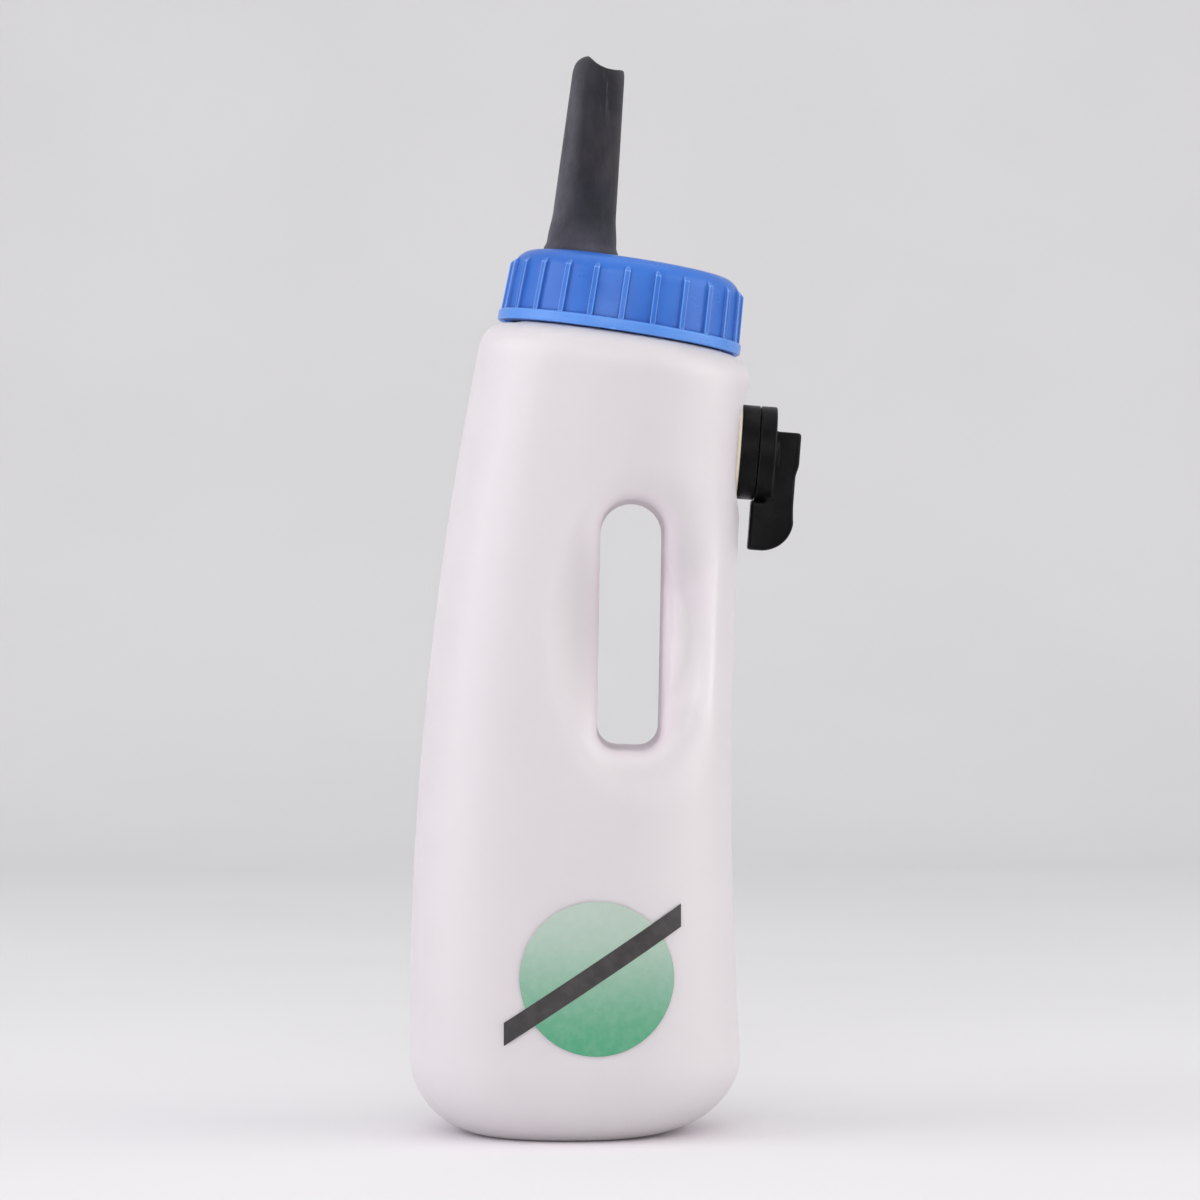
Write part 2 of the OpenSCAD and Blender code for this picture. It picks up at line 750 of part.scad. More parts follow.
module duckbill() {
    lip = duckbill_foot - 14;
    color("dimgray")
        at_valve()
            difference() {
                union() {
                    translate([0, 0, duckbill_foot - 1.6])
                        cylinder(r = stem_bore - fit_gap, h = 1.6);
                    translate([0, 0, duckbill_foot - 5])
                        cylinder(r = 5.2, h = 4);
                    hull() {
                        translate([0, 0, duckbill_foot - 6]) cylinder(r = 5.2, h = 1.5, $fn = 32);
                        translate([-5.2, -0.9, lip]) cube([10.4, 1.8, 1]);
                    }
                }
                translate([0, 0, duckbill_foot - 5.2]) cylinder(r = 4, h = 6);
                hull() {
                    translate([0, 0, duckbill_foot - 6]) cylinder(r = 4, h = 1, $fn = 32);
                    translate([-4.2, -0.1, lip - 0.5]) cube([8.4, 0.2, 1]);
                }
            }
}

module duckbill_retainer() {
    color("black")
        at_valve()
            ring(stem_bore - fit_gap, 5.6, duckbill_foot - 1.6 - seat_gap - retainer_t,
                duckbill_foot - 1.6 - seat_gap);
}

module click_ball() {
    color("silver")
        at_valve() translate([click_off, 0, ball_z]) sphere(r = ball_r, $fn = 32);
}

// Compression spring under the click ball, swept along a helix.
module click_spring() {
    wire = 0.25;
    coil_r = ball_r - wire - 0.1;
    z0 = flange_face - click_pocket + wire + 0.02;
    z1 = ball_z - ball_r - wire - 0.02;
    coils = 4;
    steps = 16 * coils;
    sides = 6;
    function centre(k) = [
        coil_r * cos(360 * coils * k / steps),
        coil_r * sin(360 * coils * k / steps),
        mix(z0, z1, k / steps)
    ];
    points = [
        for (k = [0 : steps], i = [0 : sides - 1])
            let (turn = 360 * coils * k / steps, a = 360 * i / sides, c = centre(k))
            [
                c[0] + wire * cos(a) * cos(turn),
                c[1] + wire * cos(a) * sin(turn),
                c[2] + wire * sin(a)
            ]
    ];
    faces = [
        for (k = [0 : steps - 1], i = [0 : sides - 1], half = [0, 1])
            let (
                a = k * sides + i,
                b = k * sides + (i + 1) % sides,
                c = a + sides,
                d = b + sides
            )
            half == 0 ? [a, b, d] : [a, d, c]
    ];
    foot = [for (i = [sides - 1 : -1 : 0]) i];
    top = [for (i = [0 : sides - 1]) steps * sides + i];
    color("silver")
        at_valve()
            translate([click_off, 0, 0])
                polyhedron(points, concat([foot], [top], faces), convexity = 10);
}

bottle();
screw_cap();
cap_gasket();
teat();
valve_gasket();
valve_body();
valve_washer();
valve_nut();
speed_dial();
dial_oring();
port_seal();
dial_screw();
dial_screw_washer();
duckbill();
duckbill_retainer();
click_ball();
click_spring();
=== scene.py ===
import json
import math

import bpy
import numpy as np
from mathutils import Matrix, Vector


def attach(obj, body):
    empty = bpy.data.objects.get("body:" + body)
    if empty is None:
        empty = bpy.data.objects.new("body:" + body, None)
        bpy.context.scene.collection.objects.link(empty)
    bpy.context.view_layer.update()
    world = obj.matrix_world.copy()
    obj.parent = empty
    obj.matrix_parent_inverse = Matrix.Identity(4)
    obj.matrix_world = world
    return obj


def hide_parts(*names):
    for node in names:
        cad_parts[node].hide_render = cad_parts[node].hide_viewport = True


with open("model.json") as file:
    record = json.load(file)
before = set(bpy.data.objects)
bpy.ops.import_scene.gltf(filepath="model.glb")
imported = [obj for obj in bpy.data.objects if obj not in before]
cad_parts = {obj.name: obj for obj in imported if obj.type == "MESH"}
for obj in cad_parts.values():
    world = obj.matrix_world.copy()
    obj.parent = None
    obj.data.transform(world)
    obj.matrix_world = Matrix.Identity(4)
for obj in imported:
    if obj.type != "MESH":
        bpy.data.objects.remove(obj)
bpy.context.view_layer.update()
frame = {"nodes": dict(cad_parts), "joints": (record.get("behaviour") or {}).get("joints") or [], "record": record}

# Lengths are in millimetres, as in the part's source, until place() turns them into metres.
MM = 0.001


# --- Where things are, from the frame -------------------------------------------------
def joint(name):
    """A joint's record, by its name."""
    return next(j for j in frame["joints"] if j["name"] == name)


def millimetres(point):
    return np.array(point, float) / MM


NECK_AT = millimetres(joint("cap_turn")["pos_m"])
NECK_AXIS = np.array(joint("cap_turn")["axis"], float)
NECK_ACROSS = np.array([NECK_AXIS[2], 0, -NECK_AXIS[0]])
LEAN = math.atan2(NECK_AXIS[0], NECK_AXIS[2])
VALVE_AT = millimetres(joint("dial_turn")["pos_m"])
VALVE_AXIS = np.array(joint("dial_turn")["axis"], float)
VALVE_DOWN = np.array([VALVE_AXIS[2], 0, -VALVE_AXIS[0]])
SIDE = np.array([0.0, 1.0, 0.0])


class Place:
    """A local frame: x, y and z axes and an origin, all in the row frame."""

    def __init__(self, origin, x_axis, y_axis, z_axis):
        self.origin = np.array(origin, float)
        self.axes = np.array([x_axis, y_axis, z_axis], float)

    def out(self, points):
        return np.asarray(points, float) @ self.axes + self.origin

    def into(self, points):
        return (points - self.origin) @ self.axes.T


NECK = Place(NECK_AT, NECK_ACROSS, SIDE, NECK_AXIS)
VALVE = Place(VALVE_AT, VALVE_DOWN, SIDE, VALVE_AXIS)
ROW = Place([0, 0, 0], [1, 0, 0], SIDE, [0, 0, 1])


# --- Sizes, as in the part's source, except for BODY_D --------------------------------
BASE_FRONT, BASE_BACK = -60.6, 68.1
BASE_ROUND = 30.0
FRONT_INSET, BACK_INSET, SIDE_INSET = 30.0, 37.5, 20.0
FOOT_A, FOOT_B, FOOT_LAND = 30.6, 34.0, 4.0
PUSH_UP = 5.0
# 0.4 less than the part is deep, so that the printed ink stays inside the part's own box.
BODY_D = 107.6
FRONT_BOW, BACK_BOW = 6.6, 5.1
FRONT_START, BACK_START = 40.0, 30.0
SHOULDER_W, SHOULDER_ROUND, SHOULDER_DROP, SHOULDER_TOP = 106.4, 10.5, 12.0, -0.4
LUG_BED, LUG_TRAVEL, LUG_BED_R = -1.5, 41.0, 41.7
SQUARENESS = 2.3
WALL = 2.0
# How far back and up the shoulder reaches, for the grid that its mesh is made on.
REACH_BACK, REACH_UP = 78.0, 318.0

SLOT_W, SLOT_H, SLOT_CORNER = 24.2, 95.8, 8.0
SLOT_AT = (25.04, 196.9)
SLOT_LEAN = math.radians(1.1)
SLOT_EDGE = 6.0
BAR_HALF = 32.0
RECESS_AT, RECESS_HALF, RECESS_CORE = (33.04, 192.9), (40.2, 65.9), 0.3

SEAT_R, SEAT_BLEND = 18.4, 8.0

NECK_R, NECK_BORE, NECK_RISE = 40.1, 37.6, 24.3
THREAD_OUT, THREAD_LEAD, THREAD_FOOT = 1.6, 12.0, 6.5

RIM_MID = NECK_AT - SHOULDER_DROP * NECK_AXIS
RIM_FRONT = RIM_MID - SHOULDER_W / 2 * NECK_ACROSS
RIM_BACK = RIM_MID + SHOULDER_W / 2 * NECK_ACROSS


# --- Curves and fields ----------------------------------------------------------------
def mix(a, b, t):
    return a + (b - a) * t


def smooth(t):
    c = np.clip(t, 0, 1)
    return c * c * (3 - 2 * c)


def smooth_max(a, b, r):
    """The larger of two distances, with the corner between them rounded."""
    h = np.maximum(r - np.abs(a - b), 0) / r
    return np.maximum(a, b) + h * h * r / 4


def smooth_min(a, b, r):
    return -smooth_max(-a, -b, r)


def superellipse(x, y, half_x, half_y, n, stretch=(1, 1)):
    """About the distance to a superellipse's edge, negative inside, where x and y may be stretched."""
    u, v = np.abs(x / half_x) + 1e-6, np.abs(y / half_y) + 1e-6
    size = (u**n + v**n) ** (1 / n)
    slope_x = (u / size) ** (n - 1) / half_x * stretch[0]
    slope_y = (v / size) ** (n - 1) / half_y * stretch[1]
    return (size - 1) / np.hypot(slope_x, slope_y)


def front_x(z):
    """Where the bottle's front edge is at height z: upright, then slanting, with a slight bow."""
    t = np.maximum(0, (z - FRONT_START) / (RIM_FRONT[2] - FRONT_START))
    return mix(BASE_FRONT, RIM_FRONT[0], t) - 4 * FRONT_BOW * t * (1 - t)


def back_x(z):
    """Where the edge behind the handle bar is at height z, in the same way."""
    t = np.maximum(0, (z - BACK_START) / (RIM_BACK[2] - BACK_START))
    return mix(BASE_BACK, RIM_BACK[0], t) - 4 * BACK_BOW * t * (1 - t)


def unseated(p):
    """Undoes the flat seat pressed in for the air valve, and says how much that stretches."""
    v = VALVE.into(p)
    pull = 1 - smooth((np.hypot(v[..., 0], v[..., 1]) - SEAT_R) / SEAT_BLEND)
    stretch = 1 / np.maximum(1 - pull, 0.03)
    out = np.maximum(v[..., 2], 0)
    extra = out * stretch - out
    return p + extra[..., None] * VALVE_AXIS, np.where(out > 0, stretch, 1)


def unrecessed(p):
    """Undoes the finger recess in the flat sides, and gives the point, the stretch and the pull."""
    x, y, z = p[..., 0], p[..., 1], p[..., 2]
    d = np.hypot((x - RECESS_AT[0]) / RECESS_HALF[0], (z - RECESS_AT[1]) / RECESS_HALF[1])
    pull = 1 - smooth((d - RECESS_CORE) / (1 - RECESS_CORE))
    stretch = 1 / np.maximum(1 - pull, 0.03)
    excess = np.maximum(np.abs(y) - BAR_HALF, 0)
    raised = y + np.sign(y) * (excess * stretch - excess)
    return np.stack([x, raised, z], -1), np.where(excess > 0, stretch, 1), pull


def side_field(p):
    """The bottle's side wall and shoulder: level rings that tilt until they are square with the neck."""
    q, stretch_x = unseated(p)
    q, stretch_y, pull = unrecessed(q)
    stretch = (stretch_x, stretch_y)
    x, y, z = q[..., 0], q[..., 1], q[..., 2]
    h = z
    for _ in range(5):
        t = np.maximum(0, (h - BASE_ROUND) / (RIM_MID[2] - BASE_ROUND))
        drop = (back_x(h) - front_x(h)) / 2 * np.sin(LEAN * smooth(0.25 + 0.75 * t) * t)
        front, back = front_x(h + drop), back_x(h - drop)
        across = (x - front) / (back - front)
        h = z - drop * (1 - 2 * across)
    low = np.clip((BASE_ROUND - z) / BASE_ROUND, 0, 1)
    inset = 1 - np.sqrt(1 - low**2)
    front = front + FRONT_INSET * inset
    back = back - BACK_INSET * inset
    half_x, half_y = (back - front) / 2, BODY_D / 2 - SIDE_INSET * inset
    body = superellipse(x - (front + back) / 2, y, half_x, half_y, SQUARENESS, stretch)
    n = NECK.into(q)
    rise = np.clip((n[..., 2] + SHOULDER_DROP) / (SHOULDER_DROP + SHOULDER_TOP), 0, 1)
    inset = SHOULDER_ROUND * (1 - np.sqrt(1 - rise**2))
    shape = mix(SQUARENESS, 2, np.arcsin(rise) / (math.pi / 2))
    shoulder = superellipse(n[..., 0], y, SHOULDER_W / 2 - inset, BODY_D / 2 - inset, shape, stretch)
    d = np.where(n[..., 2] > -SHOULDER_DROP, shoulder, body)
    depth = np.abs(y) - BAR_HALF
    return np.where(depth < 0, np.maximum(d, mix(d, depth, pull)), d)


def slot_field(p):
    """Distance to the hand slot's outline, which has a round top and small lower corners."""
    x, z = p[..., 0] - SLOT_AT[0], p[..., 2] - SLOT_AT[1]
    c, s = math.cos(SLOT_LEAN), math.sin(SLOT_LEAN)
    x, z = x * c - z * s, x * s + z * c
    r = np.where(z > 0, SLOT_W / 2, SLOT_CORNER)
    qx, qz = np.abs(x) - SLOT_W / 2 + r, np.abs(z) - SLOT_H / 2 + r
    return np.minimum(np.maximum(qx, qz), 0) + np.hypot(np.maximum(qx, 0), np.maximum(qz, 0)) - r


def shoulder_top(n):
    """Height of the shoulder's flat, lower in the two beds that the cap's stop lugs start in."""
    turn = (np.degrees(np.arctan2(n[..., 1], n[..., 0])) + 5) % 180
    across = np.minimum(turn, LUG_TRAVEL - turn) / 1.2
    bed = smooth(across) * smooth((np.hypot(n[..., 0], n[..., 1]) - LUG_BED_R) / 0.6)
    return mix(SHOULDER_TOP, LUG_BED, bed)


def bottle_field(p, inset=0.0):
    """The bottle's outside, or its inside when inset by the wall."""
    ring = superellipse(p[..., 0], p[..., 1], FOOT_A - FOOT_LAND, FOOT_B - FOOT_LAND, SQUARENESS)
    hollow = PUSH_UP * smooth(-ring / (FOOT_A * 0.6))
    d = smooth_max(side_field(p), hollow - p[..., 2], 1.5)
    n = NECK.into(p)
    d = smooth_max(d, n[..., 2] - (shoulder_top(n) if inset == 0 else SHOULDER_TOP), 0.8)
    return smooth_max(d, -slot_field(p), SLOT_EDGE) + inset


# --- Meshes ---------------------------------------------------------------------------
def slope(field, p, h=0.02):
    """A field's gradient, by central differences."""
    steps = np.eye(3) * h
    return np.stack([field(p + s) - field(p - s) for s in steps], -1) / (2 * h)


def onto(field, p, rounds=3):
    """Moves points onto the surface where a field is zero."""
    for _ in range(rounds):
        g = slope(field, p)
        move = field(p)[..., None] * g / np.maximum((g**2).sum(-1, keepdims=True), 1e-4)
        p = p - move * np.minimum(1, 0.8 / np.maximum(np.linalg.norm(move, axis=-1, keepdims=True), 1e-6))
    return p


def net(field, low, high, step, relax=3):
    """A smooth quad mesh of the surface where a field is zero, made with surface nets and evened out."""
    axes = [np.arange(a, b + step, step) for a, b in zip(low, high)]
    p = np.stack(np.meshgrid(*axes, indexing="ij"), -1)
    f = field(p)
    cells = tuple(n - 1 for n in f.shape)
    total, count = np.zeros(cells + (3,)), np.zeros(cells)
    crossings = []
    for axis in range(3):
        b, c = (axis + 1) % 3, (axis + 2) % 3
        lower, upper = [slice(None)] * 3, [slice(None)] * 3
        lower[axis], upper[axis] = slice(None, -1), slice(1, None)
        f0, f1 = f[tuple(lower)], f[tuple(upper)]
        cross = (f0 < 0) != (f1 < 0)
        at = p[tuple(lower)].copy()
        at[..., axis] += step * np.where(cross, f0 / np.where(cross, f0 - f1, 1), 0)
        at *= cross[..., None]
        for db in (0, 1):
            for dc in (0, 1):
                part = [slice(None)] * 3
                part[b], part[c] = slice(db, cells[b] + db), slice(dc, cells[c] + dc)
                total += at[tuple(part)]
                count += cross[tuple(part)]
        crossings.append((cross, f0 < 0))
    used = count > 0
    index = np.full(cells, -1)
    index[used] = np.arange(used.sum())
    points = total[used] / count[used][:, None]
    quads = []
    for axis, (cross, starts_inside) in enumerate(crossings):
        b, c = (axis + 1) % 3, (axis + 2) % 3
        inner = [slice(None)] * 3
        inner[b], inner[c] = slice(1, -1), slice(1, -1)
        hit, flip = cross[tuple(inner)], ~starts_inside[tuple(inner)]
        corners = []
        for db, dc in ((0, 0), (1, 0), (1, 1), (0, 1)):
            part = [slice(None)] * 3
            part[b], part[c] = slice(db, cells[b] - 1 + db), slice(dc, cells[c] - 1 + dc)
            corners.append(index[tuple(part)][hit])
        faces = np.stack(corners, 1)
        turned = flip[hit]
        faces[turned] = faces[turned][:, ::-1]
        quads.append(faces)
    quads = np.concatenate(quads)
    points = onto(field, points)
    for _ in range(relax):
        middle = points[quads].mean(1)
        total, count = np.zeros_like(points), np.zeros(len(points))
        for k in range(4):
            np.add.at(total, quads[:, k], middle)
            np.add.at(count, quads[:, k], 1)
        points = onto(field, total / count[:, None], 2)
    return points, quads


def joined(*parts):
    """Several (points, faces) as one."""
    points, faces, start = [], [], 0
    for p, f in parts:
        points.append(np.asarray(p, float))
        faces += [[int(i) + start for i in face] for face in f]
        start += len(p)
    return np.concatenate(points), faces


def grid_faces(rows, columns, around=True, over=False):
    """Quads of a grid of points, closed round its columns and, if over, from its last row to its first."""
    faces = []
    for j in range(rows if over else rows - 1):
        k = (j + 1) % rows
        for i in range(columns if around else columns - 1):
            n = (i + 1) % columns
            faces.append([j * columns + i, j * columns + n, k * columns + n, k * columns + i])
    return faces


def lathe(outline, columns=128):
    """A closed outline of [radius, height] points, anticlockwise, turned round the Z axis."""
    outline = np.array(outline, float)
    a = np.linspace(0, 2 * math.pi, columns, endpoint=False)
    r, z = outline[:, :1], outline[:, 1:]
    points = np.stack([r * np.cos(a), r * np.sin(a), z + 0 * a], -1).reshape(-1, 3)
    return points, grid_faces(len(outline), columns, over=True)


def rounded(corners, radii, steps=5):
    """A closed outline with its corners rounded, each by its own radius."""
    corners = [np.array(c, float) for c in corners]
    if np.isscalar(radii):
        radii = [radii] * len(corners)
    outline = []
    for k, (c, r) in enumerate(zip(corners, radii)):
        before, after = corners[k - 1] - c, corners[(k + 1) % len(corners)] - c
        la, lb = np.linalg.norm(before), np.linalg.norm(after)
        if r <= 0:
            outline.append(c)
            continue
        ua, ub = before / la, after / lb
        half = math.acos(np.clip(ua @ ub, -1, 1)) / 2
        reach = min(r / math.tan(half), 0.49 * la, 0.49 * lb)
        for t in np.linspace(0, 1, steps + 1):
            outline.append((1 - t) ** 2 * (c + ua * reach) + 2 * t * (1 - t) * c + t * t * (c + ub * reach))
    return outline


def place(name, mesh_parts, where, body, material, sharp=50, nodes=()):
    """Makes a piece from points and faces in a local frame, and gives it its body, slot and material."""
    points, faces = mesh_parts
    mesh = bpy.data.meshes.new(name)
    mesh.from_pydata((where.out(points) * MM).tolist(), [], [list(map(int, f)) for f in faces])
    mesh.validate()
    mesh.update()
    piece = bpy.data.objects.new(name, mesh)
    bpy.context.scene.collection.objects.link(piece)
    mesh.materials.append(material)
    mesh.shade_smooth()
    if sharp:
        mesh.set_sharp_from_angle(angle=math.radians(sharp))
    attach(piece, body)
    if nodes:
        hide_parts(*nodes)
    return piece


# --- Materials ------------------------------------------------------------------------
class Nodes:
    """Short names for building one material."""

    def __init__(self, name):
        self.material = bpy.data.materials.new(name)
        self.material.use_nodes = True
        self.tree = self.material.node_tree
        self.shader = self.tree.nodes["Principled BSDF"]
        self.place = self.tree.nodes.new("ShaderNodeTexCoord").outputs["Object"]

    def set(self, **values):
        for name, value in values.items():
            self.shader.inputs[name.replace("_", " ")].default_value = value
        return self

    def link(self, source, target):
        self.tree.links.new(source, target)

    def noise(self, scale, detail=4.0, rough=0.55, stretch=(1, 1, 1), seed=0.0):
        spread = self.tree.nodes.new("ShaderNodeMapping")
        spread.inputs["Scale"].default_value = stretch
        spread.inputs["Location"].default_value = (seed, seed * 0.7, seed * 1.3)
        node = self.tree.nodes.new("ShaderNodeTexNoise")
        node.inputs["Scale"].default_value = scale
        node.inputs["Detail"].default_value = detail
        node.inputs["Roughness"].default_value = rough
        self.link(self.place, spread.inputs["Vector"])
        self.link(spread.outputs["Vector"], node.inputs["Vector"])
        return node.outputs["Fac"]

    def range(self, value, low, high, out_low=0.0, out_high=1.0):
        node = self.tree.nodes.new("ShaderNodeMapRange")
        node.interpolation_type = "SMOOTHSTEP"
        for k, v in enumerate((low, high, out_low, out_high)):
            node.inputs[1 + k].default_value = v
        self.link(value, node.inputs["Value"])
        return node.outputs["Result"]

    def math(self, operation, a, b=None):
        node = self.tree.nodes.new("ShaderNodeMath")
        node.operation = operation
        for k, v in enumerate((a, b)):
            if v is None:
                continue
            if isinstance(v, (int, float)):
                node.inputs[k].default_value = v
            else:
                self.link(v, node.inputs[k])
        return node.outputs["Value"]

    def along(self, origin, direction):
        """How far along a direction from an origin, in metres."""
        offset = self.tree.nodes.new("ShaderNodeVectorMath")
        offset.operation = "SUBTRACT"
        offset.inputs[1].default_value = tuple(np.asarray(origin) * MM)
        self.link(self.place, offset.inputs[0])
        dot = self.tree.nodes.new("ShaderNodeVectorMath")
        dot.operation = "DOT_PRODUCT"
        dot.inputs[1].default_value = tuple(direction)
        self.link(offset.outputs["Vector"], dot.inputs[0])
        return dot.outputs["Value"]

    def facing(self, direction):
        """How squarely the surface faces a direction, from -1 to 1."""
        dot = self.tree.nodes.new("ShaderNodeVectorMath")
        dot.operation = "DOT_PRODUCT"
        dot.inputs[1].default_value = direction
        self.link(self.tree.nodes.new("ShaderNodeTexCoord").outputs["Normal"], dot.inputs[0])
        return dot.outputs["Value"]

    def pointiness(self):
        """Above a half on convex edges and below it in creases."""
        return self.tree.nodes.new("ShaderNodeNewGeometry").outputs["Pointiness"]

    def axis(self, k):
        node = self.tree.nodes.new("ShaderNodeSeparateXYZ")
        self.link(self.place, node.inputs["Vector"])
        return node.outputs[k]

    def blend(self, share, first, second):
        node = self.tree.nodes.new("ShaderNodeMix")
        node.data_type = "RGBA"
        self.link(share, node.inputs["Factor"])
        colours = [s for s in node.inputs if s.type == "RGBA"]
        for socket, v in zip(colours, (first, second)):
            if isinstance(v, tuple):
                socket.default_value = (*v, 1)
            else:
                self.link(v, socket)
        return [s for s in node.outputs if s.type == "RGBA"][0]

    def colour(self, value):
        self.link(value, self.shader.inputs["Base Color"])
        return self

    def roughness(self, value):
        self.link(value, self.shader.inputs["Roughness"])
        return self

    def bump(self, height, distance, strength=1.0):
        node = self.tree.nodes.new("ShaderNodeBump")
        node.inputs["Strength"].default_value = strength
        node.inputs["Distance"].default_value = distance
        self.link(height, node.inputs["Height"])
        self.link(node.outputs["Normal"], self.shader.inputs["Normal"])
        return self


def painted_edge_highlight(n, base, highlight_colour, share):
    """Lightens convex edges a little: a painted highlight along them."""
    edge = n.range(n.pointiness(), 0.52, 0.60, 0.0, share)
    return n.blend(edge, base, highlight_colour)


def bottle_plastic():
    """Natural polyethylene: milky, faintly lavender, with flow marks and a mould parting line."""
    n = Nodes("natural_polyethylene")
    n.set(IOR=1.5, Subsurface_Weight=0.85, Subsurface_Scale=0.012)
    n.shader.inputs["Subsurface Radius"].default_value = (1.0, 0.95, 1.0)
    cloud = n.range(n.noise(16, 3, 0.5, (1, 1, 0.35)), 0.35, 0.68)
    n.colour(n.blend(cloud, (0.86, 0.735, 0.815), (0.90, 0.775, 0.85)))
    n.roughness(n.range(n.noise(60, 4, 0.6), 0.3, 0.7, 0.32, 0.44))
    parting = n.range(n.math("ABSOLUTE", n.axis("Y")), 0.0, 0.0006, 1.0, 0.0)
    ripple = n.math("MULTIPLY", n.noise(45, 3, 0.5, (1, 1, 0.5)), 0.35)
    grain = n.math("MULTIPLY", n.noise(900, 2, 0.5), 0.05)
    n.bump(n.math("ADD", parting, n.math("ADD", ripple, grain)), 0.0005, 0.6)
    return n.material


def cap_plastic():
    """Blue polypropylene, with painted highlights on its collar and ribs' crests and painted shade in the creases.
    """
    n = Nodes("blue_cap_plastic")
    n.set(IOR=1.5, Specular_IOR_Level=0.38, Subsurface_Weight=0.12, Subsurface_Scale=0.003)
    cloud = n.range(n.noise(35, 3), 0.35, 0.65)
    base = n.blend(cloud, (0.016, 0.116, 0.480), (0.025, 0.143, 0.540))
    point = n.pointiness()
    # Painted highlight: the collar band is made a lighter blue.
    collar = n.range(n.along(NECK_AT, NECK_AXIS), 0.0036, 0.0044, 0.45, 0.0)
    collar_highlighted = n.blend(collar, base, (0.12, 0.33, 0.80))
    # Painted shade: the creases beside the ribs are darkened.
    crease_shaded = n.blend(n.range(point, 0.42, 0.497, 0.95, 0.0), collar_highlighted, (0.006, 0.030, 0.170))
    # Painted highlight: the ribs' convex crests are made a lighter blue.
    crest = n.range(point, 0.503, 0.56, 0.0, 0.8)
    n.colour(n.blend(crest, crease_shaded, (0.20, 0.44, 0.92)))
    n.roughness(n.range(n.noise(90, 4, 0.6), 0.3, 0.7, 0.26, 0.40))
    n.bump(n.noise(700, 3, 0.6), 0.0001, 0.35)
    return n.material


def teat_rubber():
    """Charcoal natural rubber with smudges and scuffs, paler in patches towards its foot and, as painted light,
    down the side that faces left.
    """
    n = Nodes("teat_rubber")
    n.set(IOR=1.45, Specular_IOR_Level=0.3, Sheen_Weight=0.08, Sheen_Roughness=0.5)
    smudge = n.range(n.noise(38, 6, 0.65, (1, 1, 0.45)), 0.36, 0.72)
    warm = n.range(n.noise(30, 3, 0.5, (1, 1, 0.6), 3.0), 0.50, 0.66)
    light = n.blend(warm, (0.036, 0.034, 0.048), (0.042, 0.030, 0.036))
    base = n.blend(smudge, (0.010, 0.010, 0.015), light)
    # Painted light: the side facing left is made paler, as if lit.
    side = n.range(n.facing((-1, 0, 0.1)), 0.25, 1.0, 0.0, 0.8)
    foot = n.range(n.along(NECK.out([0, 0, CAP["h"]]), NECK_AXIS), 0.003, 0.016, 0.55, 0.0)
    patchy = n.range(n.noise(75, 6, 0.7, (1, 1, 0.5), 5.0), 0.32, 0.68, 0.35, 1.0)
    # Pale patches: towards the foot, and painted light on the left-facing side.
    dust = n.math("MULTIPLY", n.math("MAXIMUM", side, foot), patchy)
    dusty_and_lit = n.blend(dust, base, (0.105, 0.100, 0.122))
    scuff = n.range(n.noise(260, 5, 0.7, (1, 1, 0.12)), 0.62, 0.80, 0.0, 0.4)
    n.colour(n.blend(scuff, dusty_and_lit, (0.12, 0.12, 0.135)))
    n.roughness(n.range(n.noise(70, 4), 0.3, 0.7, 0.55, 0.78))
    n.bump(n.noise(420, 5, 0.7), 0.00025, 0.5)
    return n.material


def valve_plastic(name="valve_plastic"):
    n = Nodes(name)
    n.set(IOR=1.48, Specular_IOR_Level=0.10)
    dust = n.range(n.noise(60, 6, 0.65), 0.45, 0.75)
    base = n.blend(dust, (0.0020, 0.0020, 0.0023), (0.0065, 0.0065, 0.0070))
    # Painted highlight along the moulding's convex edges.
    n.colour(painted_edge_highlight(n, base, (0.055, 0.055, 0.058), 0.7))
    n.roughness(n.range(n.noise(110, 4), 0.3, 0.7, 0.26, 0.42))
    n.bump(n.noise(800, 3, 0.6), 0.00012, 0.4)
    return n.material


def soft_rubber(name, dark, light, rough=(0.5, 0.7), scale=60):
    n = Nodes(name)
    n.colour(n.blend(n.range(n.noise(scale, 5, 0.6), 0.35, 0.7), dark, light))
    n.roughness(n.range(n.noise(scale * 1.7, 4), 0.3, 0.7, *rough))
    n.bump(n.noise(500, 4, 0.6), 0.00015, 0.4)
    return n.material


def steel():
    n = Nodes("bright_steel")
    n.set(Metallic=1.0)
    n.colour(n.blend(n.range(n.noise(140, 4), 0.35, 0.7), (0.52, 0.52, 0.53), (0.68, 0.68, 0.69)))
    n.roughness(n.range(n.noise(500, 3, 0.6, (1, 1, 6)), 0.3, 0.7, 0.22, 0.38))
    return n.material


def print_ink(name, colour_of):
    """Screen-printed ink: colour_of makes the colour, and the ink is slightly uneven."""
    n = Nodes(name)
    n.colour(colour_of(n))
    n.roughness(n.range(n.noise(240, 4), 0.3, 0.7, 0.30, 0.42))
    n.bump(n.noise(900, 3, 0.6), 0.00006, 0.4)
    return n.material


# --- Bottle ---------------------------------------------------------------------------
def kept(points, quads, keep):
    """The quads whose middles pass a test, with the points they use."""
    quads = quads[keep(points[quads].mean(1))]
    used, again = np.unique(quads, return_inverse=True)
    return points[used], again.reshape(quads.shape)


def thread_ridge(start, steps=120, turn=360.0, run_in=18.0):
    """One start of the neck's thread: a round-crested helical ridge, bedded in the neck."""
    points = []
    half_root, sink = 1.5, 0.5
    for k in range(steps + 1):
        a = turn * k / steps
        ramp = float(smooth(min(a, turn - a) / run_in))
        c = THREAD_FOOT + THREAD_LEAD * a / 360
        t = math.radians(a + start)
        for u in np.linspace(-1, 1, 9):
            r = NECK_R - sink + (THREAD_OUT + sink - 0.05) * ramp * (1 - abs(u) ** 3)
            points.append([r * math.cos(t), r * math.sin(t), c + u * half_root])
    faces = grid_faces(steps + 1, 9, around=False)
    return points, [f[::-1] for f in faces]


